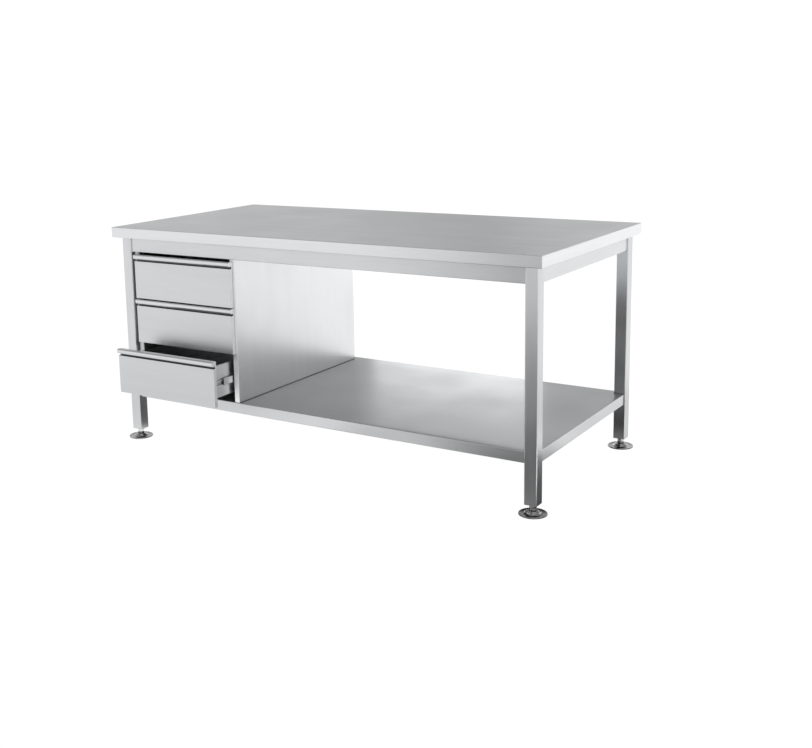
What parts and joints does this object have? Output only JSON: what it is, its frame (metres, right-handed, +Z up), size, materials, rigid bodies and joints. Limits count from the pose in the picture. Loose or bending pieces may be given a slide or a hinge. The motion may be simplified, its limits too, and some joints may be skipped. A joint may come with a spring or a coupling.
{
  "type": "stainless work table",
  "caption": "Stainless steel work table with a drawer block at its left end, an undershelf and adjustable flanged feet.",
  "frame": {"origin": "on the floor, under the middle of the whole table with its bottom drawer open as at rest", "axes": "+X along the length with the drawers at the -X end, +Y from the drawer fronts to the back, +Z up"},
  "size_m": [1.8, 1.0016, 0.85],
  "materials": {
    "steel_worktop": "brushed stainless sheet, grain along the length",
    "steel_frame": "satin ground stainless tube and channel, grain along each piece",
    "steel_panel": "brushed stainless sheet, fine grain",
    "steel_drawer": "satin stainless sheet",
    "steel_inner": "mill finish stainless sheet",
    "steel_foot": "turned and polished stainless",
    "slide_steel": "zinc plated rolled steel",
    "core_board": "laminated board, pale grey",
    "insert_plastic": "black moulded plastic"
  },
  "bodies": {
    "table": {"worktop": "steel_worktop", "worktop_board": "core_board", "leg_front_left": "steel_frame", "leg_front_right": "steel_frame", "leg_back_left": "steel_frame", "leg_back_right": "steel_frame", "rail_front": "steel_frame", "rail_back": "steel_frame", "rail_left": "steel_frame", "rail_right": "steel_frame", "cross_rail_left": "steel_inner", "cross_rail_middle": "steel_inner", "cross_rail_right": "steel_inner", "undershelf": "steel_worktop", "undershelf_stiffener": "steel_inner", "foot_insert_front_left": "insert_plastic", "foot_insert_front_right": "insert_plastic", "foot_insert_back_left": "insert_plastic", "foot_insert_back_right": "insert_plastic", "drawer_wall_left": "steel_panel", "drawer_wall_right": "steel_panel", "drawer_unit_back": "steel_panel", "drawer_bottom_slide_left_outer": "slide_steel", "drawer_bottom_slide_right_outer": "slide_steel", "drawer_middle_slide_left_outer": "slide_steel", "drawer_middle_slide_right_outer": "slide_steel", "drawer_top_slide_left_outer": "slide_steel", "drawer_top_slide_right_outer": "slide_steel"},
    "drawer_bottom": {"drawer_bottom_front": "steel_panel", "drawer_bottom_liner": "steel_inner", "drawer_bottom_box": "steel_drawer", "drawer_bottom_slide_left_inner": "slide_steel", "drawer_bottom_slide_right_inner": "slide_steel"},
    "drawer_bottom_runner_left": {"drawer_bottom_slide_left_middle": "slide_steel"},
    "drawer_bottom_runner_right": {"drawer_bottom_slide_right_middle": "slide_steel"},
    "drawer_middle": {"drawer_middle_front": "steel_panel", "drawer_middle_liner": "steel_inner", "drawer_middle_box": "steel_drawer", "drawer_middle_slide_left_inner": "slide_steel", "drawer_middle_slide_right_inner": "slide_steel"},
    "drawer_middle_runner_left": {"drawer_middle_slide_left_middle": "slide_steel"},
    "drawer_middle_runner_right": {"drawer_middle_slide_right_middle": "slide_steel"},
    "drawer_top": {"drawer_top_front": "steel_panel", "drawer_top_liner": "steel_inner", "drawer_top_box": "steel_drawer", "drawer_top_slide_left_inner": "slide_steel", "drawer_top_slide_right_inner": "slide_steel"},
    "drawer_top_runner_left": {"drawer_top_slide_left_middle": "slide_steel"},
    "drawer_top_runner_right": {"drawer_top_slide_right_middle": "slide_steel"},
    "foot_front_left": {"foot_flange_front_left": "steel_foot", "foot_stem_front_left": "steel_foot"},
    "foot_front_right": {"foot_flange_front_right": "steel_foot", "foot_stem_front_right": "steel_foot"},
    "foot_back_left": {"foot_flange_back_left": "steel_foot", "foot_stem_back_left": "steel_foot"},
    "foot_back_right": {"foot_flange_back_right": "steel_foot", "foot_stem_back_right": "steel_foot"}
  },
  "joints": [
    {"name": "drawer_bottom_pull", "type": "slide", "parent": "table", "child": "drawer_bottom", "axis": [0, -1, 0], "range_m": [-0.115, 0.485]},
    {"name": "drawer_bottom_runner_left_run", "type": "slide", "parent": "table", "child": "drawer_bottom_runner_left", "axis": [0, -1, 0], "range_m": [-0.0575, 0.2425]},
    {"name": "drawer_bottom_runner_right_run", "type": "slide", "parent": "table", "child": "drawer_bottom_runner_right", "axis": [0, -1, 0], "range_m": [-0.0575, 0.2425]},
    {"name": "drawer_middle_pull", "type": "slide", "parent": "table", "child": "drawer_middle", "axis": [0, -1, 0], "range_m": [0, 0.6]},
    {"name": "drawer_middle_runner_left_run", "type": "slide", "parent": "table", "child": "drawer_middle_runner_left", "axis": [0, -1, 0], "range_m": [0, 0.3]},
    {"name": "drawer_middle_runner_right_run", "type": "slide", "parent": "table", "child": "drawer_middle_runner_right", "axis": [0, -1, 0], "range_m": [0, 0.3]},
    {"name": "drawer_top_pull", "type": "slide", "parent": "table", "child": "drawer_top", "axis": [0, -1, 0], "range_m": [0, 0.6]},
    {"name": "drawer_top_runner_left_run", "type": "slide", "parent": "table", "child": "drawer_top_runner_left", "axis": [0, -1, 0], "range_m": [0, 0.3]},
    {"name": "drawer_top_runner_right_run", "type": "slide", "parent": "table", "child": "drawer_top_runner_right", "axis": [0, -1, 0], "range_m": [0, 0.3]},
    {"name": "foot_front_left_height", "type": "slide", "parent": "table", "child": "foot_front_left", "axis": [0, 0, -1], "range_m": [-0.012, 0.03]},
    {"name": "foot_front_right_height", "type": "slide", "parent": "table", "child": "foot_front_right", "axis": [0, 0, -1], "range_m": [-0.012, 0.03]},
    {"name": "foot_back_left_height", "type": "slide", "parent": "table", "child": "foot_back_left", "axis": [0, 0, -1], "range_m": [-0.012, 0.03]},
    {"name": "foot_back_right_height", "type": "slide", "parent": "table", "child": "foot_back_right", "axis": [0, 0, -1], "range_m": [-0.012, 0.03]}
  ],
  "couplings": [
    {"joint": "drawer_bottom_runner_left_run", "follows": "drawer_bottom_pull", "ratio": 0.5},
    {"joint": "drawer_bottom_runner_right_run", "follows": "drawer_bottom_pull", "ratio": 0.5},
    {"joint": "drawer_middle_runner_left_run", "follows": "drawer_middle_pull", "ratio": 0.5},
    {"joint": "drawer_middle_runner_right_run", "follows": "drawer_middle_pull", "ratio": 0.5},
    {"joint": "drawer_top_runner_left_run", "follows": "drawer_top_pull", "ratio": 0.5},
    {"joint": "drawer_top_runner_right_run", "follows": "drawer_top_pull", "ratio": 0.5}
  ]
}
